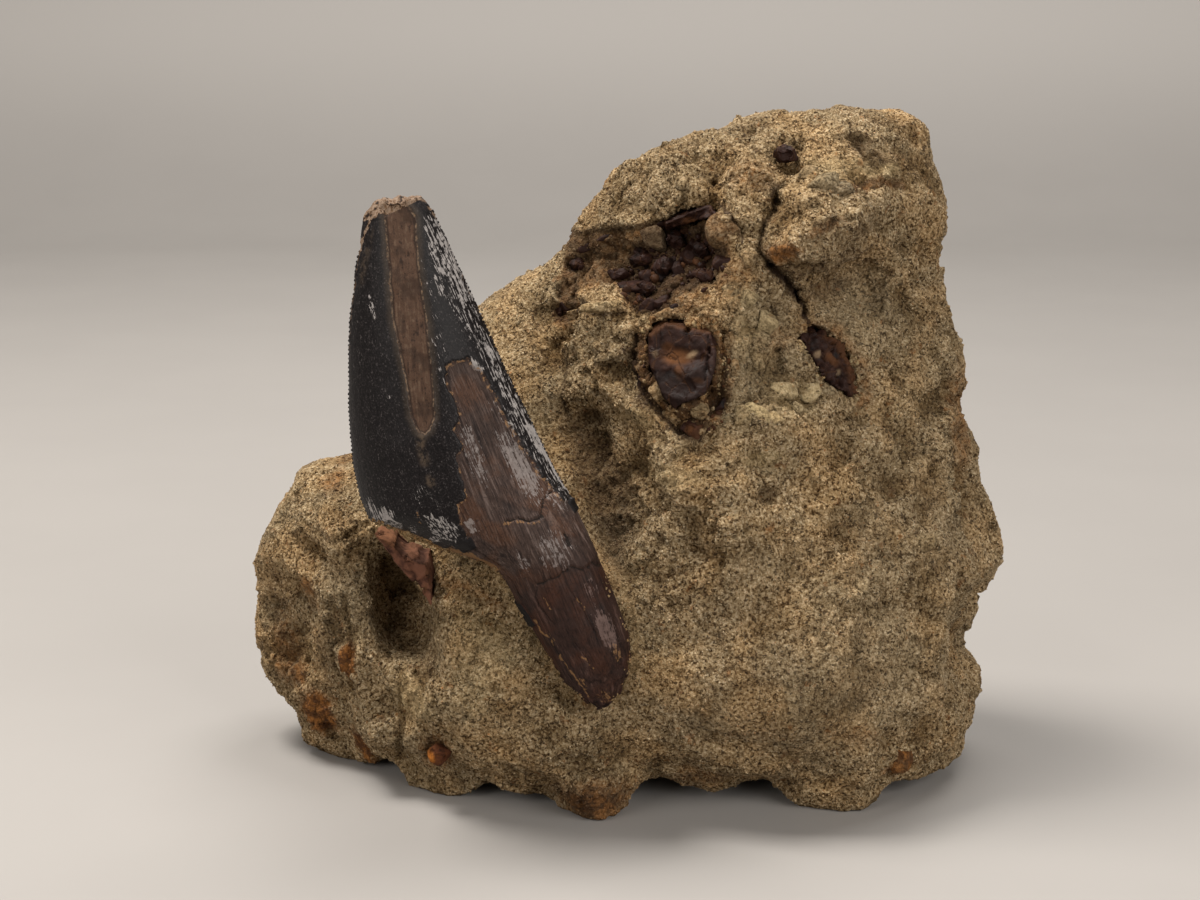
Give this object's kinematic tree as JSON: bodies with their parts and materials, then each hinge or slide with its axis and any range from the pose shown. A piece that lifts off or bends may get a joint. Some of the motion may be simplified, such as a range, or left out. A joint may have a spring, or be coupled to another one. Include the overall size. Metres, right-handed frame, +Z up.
{
  "type": "fossil tyrannosaur tooth",
  "caption": "Fossil tyrannosaur tooth standing against the sandstone block it is bedded in, its crown free and its root set in the rock, with splinters of dark bone in the face.",
  "frame": {"origin": "on the ground, under the middle of the specimen's bounding box", "axes": "+X to the right across the block's widest extent, +Y to the back, away from the face that holds the tooth, +Z up"},
  "size_m": [0.1027, 0.0633, 0.088],
  "materials": {
    "sandstone": "rough coarse sandstone, buff brown with grey and rusty patches",
    "tooth": "black satin enamel with brown fossil dentine where it has flaked off",
    "root": "matt red-brown fossil root",
    "bone": "dark brown fossil bone, slightly glossy",
    "ironstone": "matt rusty ironstone"
  },
  "bodies": {
    "root": {"matrix": "sandstone", "tooth": "tooth", "root_fragment": "root", "bone_fragment": "bone", "bone_splinter": "bone", "bone_strip": "bone", "bone_chip_1": "bone", "bone_chip_2": "bone", "bone_chip_3": "bone", "bone_chip_4": "bone", "bone_chip_5": "bone", "bone_chip_6": "bone", "bone_chip_7": "bone", "bone_chip_8": "bone", "bone_chip_9": "bone", "bone_chip_10": "bone", "ironstone_nodule": "ironstone"}
  },
  "joints": []
}
